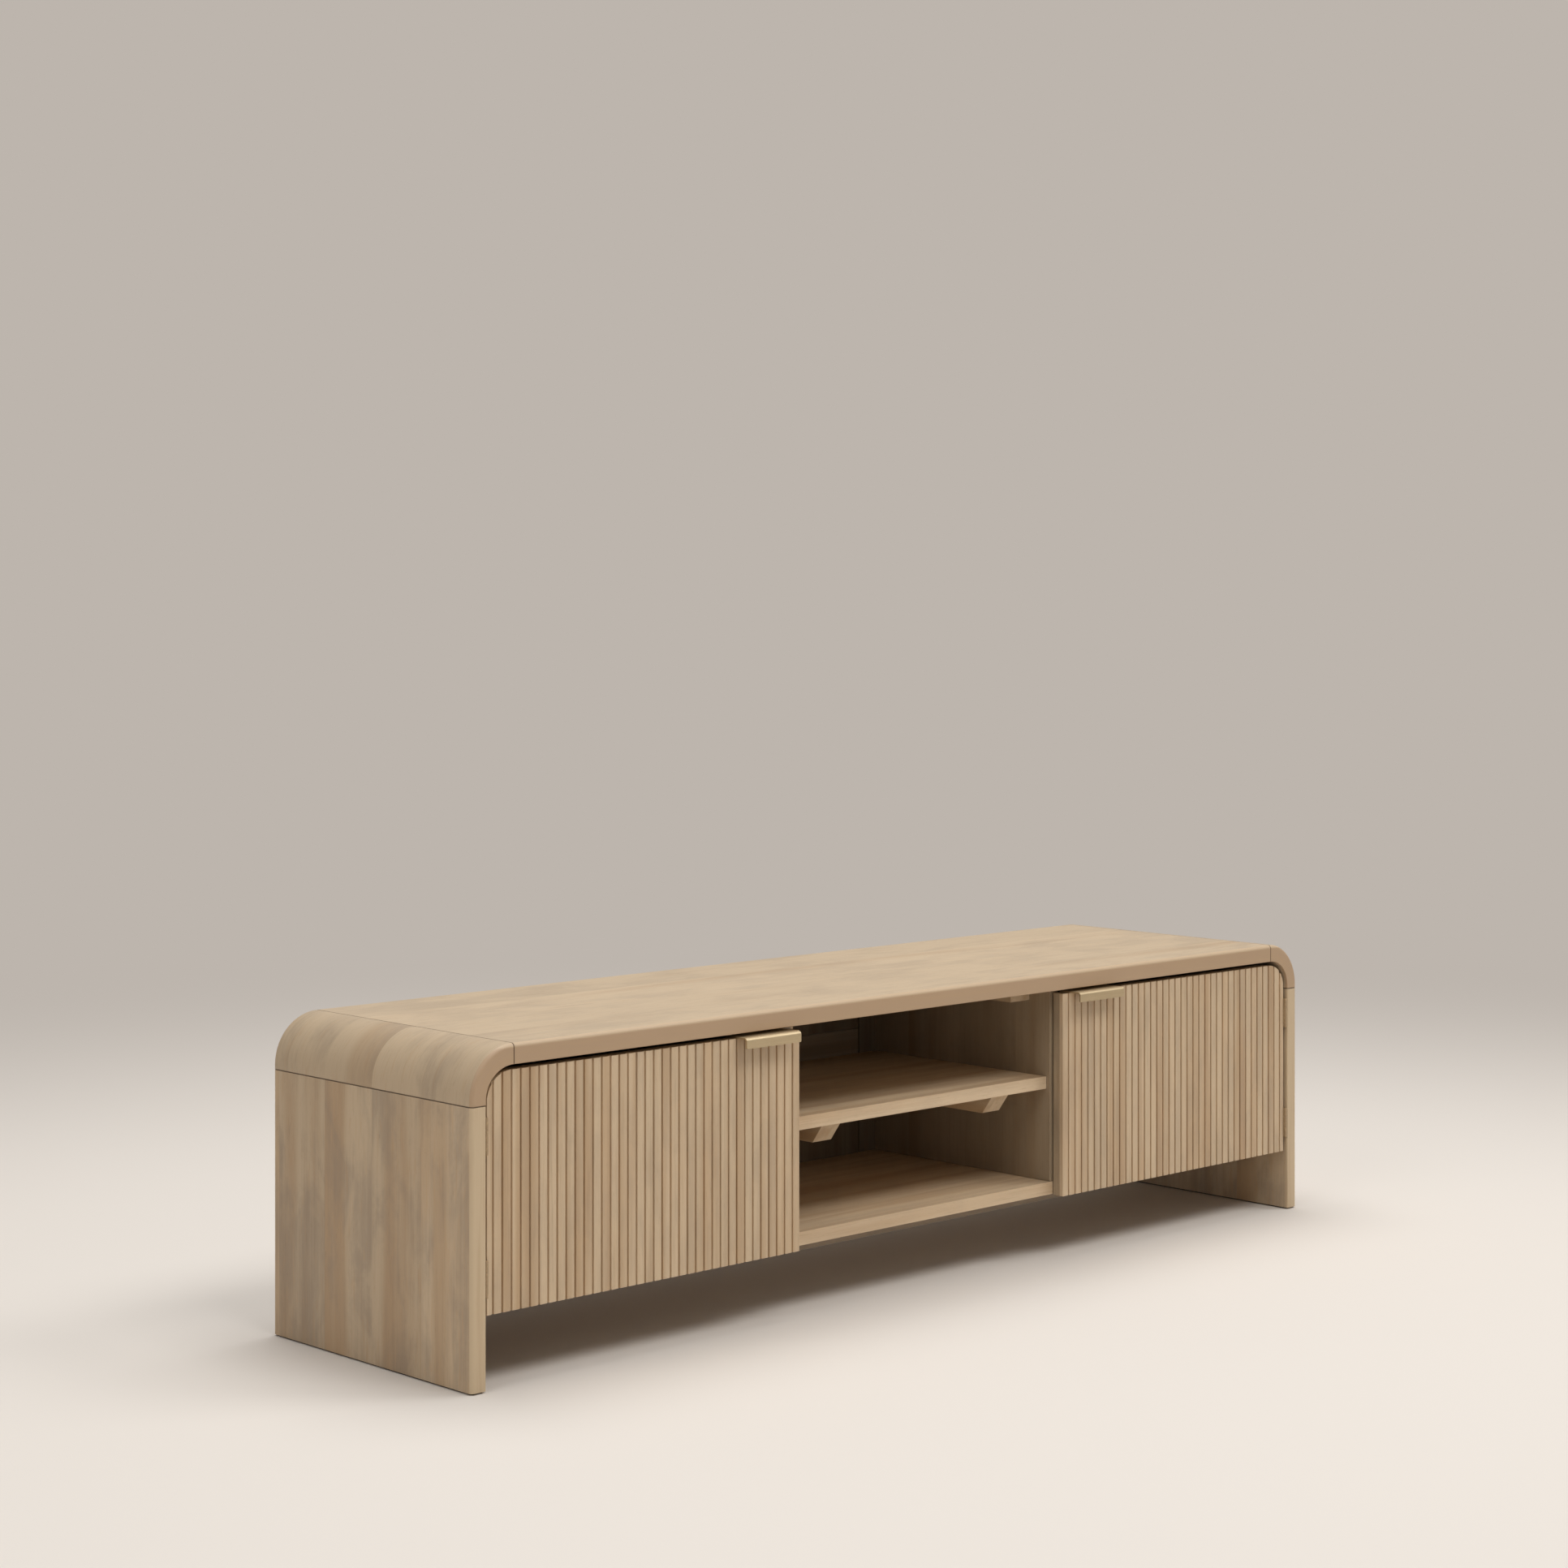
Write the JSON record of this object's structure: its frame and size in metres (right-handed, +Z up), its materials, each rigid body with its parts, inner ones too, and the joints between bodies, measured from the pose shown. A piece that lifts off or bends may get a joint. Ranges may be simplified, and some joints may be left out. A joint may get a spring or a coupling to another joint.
{
  "type": "media cabinet",
  "caption": "Low wooden media cabinet with a waterfall frame, an open shelved centre bay and a reeded hinged door with an edge pull at each side.",
  "frame": {"origin": "centre of the cabinet's footprint, pulls included, on the floor", "axes": "+X to the right as seen from the front, +Y towards the back, +Z up; the front faces -Y"},
  "size_m": [1.8, 0.477, 0.46],
  "materials": {
    "frame_wood": "matt lacquered light oak veneer, straight grain",
    "door_wood": "matt lacquered light oak slats, vertical grain",
    "carcass_wood": "matt lacquered oak veneer board",
    "foot_strip": "thin dark glide strip under each side",
    "pull_metal": "satin champagne brass sheet",
    "hinge_steel": "oak-brown painted steel",
    "shelf_pin_steel": "zinc plated steel",
    "catch_plastic": "moulded brown plastic"
  },
  "bodies": {
    "carcass": {"top_panel": "frame_wood", "left_corner_block": "frame_wood", "left_side_panel": "frame_wood", "right_corner_block": "frame_wood", "right_side_panel": "frame_wood", "left_foot_strip": "foot_strip", "right_foot_strip": "foot_strip", "bottom_panel": "carcass_wood", "centre_shelf": "carcass_wood", "front_stretcher": "carcass_wood", "rear_stretcher": "carcass_wood", "lower_back_panel": "carcass_wood", "upper_back_panel": "carcass_wood", "back_rail": "carcass_wood", "left_divider": "carcass_wood", "left_shelf_batten": "carcass_wood", "left_top_cleat": "carcass_wood", "left_back_panel": "carcass_wood", "left_back_stile": "carcass_wood", "left_side_shelf": "carcass_wood", "right_divider": "carcass_wood", "right_shelf_batten": "carcass_wood", "right_top_cleat": "carcass_wood", "right_back_panel": "carcass_wood", "right_back_stile": "carcass_wood", "right_side_shelf": "carcass_wood", "left_front_divider_pin": "shelf_pin_steel", "left_rear_divider_pin": "shelf_pin_steel", "left_front_side_pin": "shelf_pin_steel", "left_rear_side_pin": "shelf_pin_steel", "right_front_divider_pin": "shelf_pin_steel", "right_rear_divider_pin": "shelf_pin_steel", "right_front_side_pin": "shelf_pin_steel", "right_rear_side_pin": "shelf_pin_steel", "left_magnetic_catch": "catch_plastic", "right_magnetic_catch": "catch_plastic", "left_lower_side_leaf": "hinge_steel", "left_upper_side_leaf": "hinge_steel", "left_lower_hinge_pin": "hinge_steel", "left_upper_hinge_pin": "hinge_steel", "right_lower_side_leaf": "hinge_steel", "right_upper_side_leaf": "hinge_steel", "right_lower_hinge_pin": "hinge_steel", "right_upper_hinge_pin": "hinge_steel"},
    "left_door": {"left_door_board": "door_wood", "left_slat_facing": "door_wood", "left_pull": "pull_metal", "left_inner_pull_screw": "shelf_pin_steel", "left_outer_pull_screw": "shelf_pin_steel", "left_lower_door_leaf": "hinge_steel", "left_upper_door_leaf": "hinge_steel", "left_strike_plate": "shelf_pin_steel"},
    "right_door": {"right_door_board": "door_wood", "right_slat_facing": "door_wood", "right_pull": "pull_metal", "right_inner_pull_screw": "shelf_pin_steel", "right_outer_pull_screw": "shelf_pin_steel", "right_lower_door_leaf": "hinge_steel", "right_upper_door_leaf": "hinge_steel", "right_strike_plate": "shelf_pin_steel"}
  },
  "joints": [
    {"name": "left_door_hinge", "type": "hinge", "parent": "carcass", "child": "left_door", "pos_m": [-0.8725, -0.2195, 0.245], "axis": [0, 0, -1], "range_deg": [0, 110]},
    {"name": "right_door_hinge", "type": "hinge", "parent": "carcass", "child": "right_door", "pos_m": [0.8725, -0.2195, 0.245], "axis": [0, 0, 1], "range_deg": [0, 110]}
  ]
}
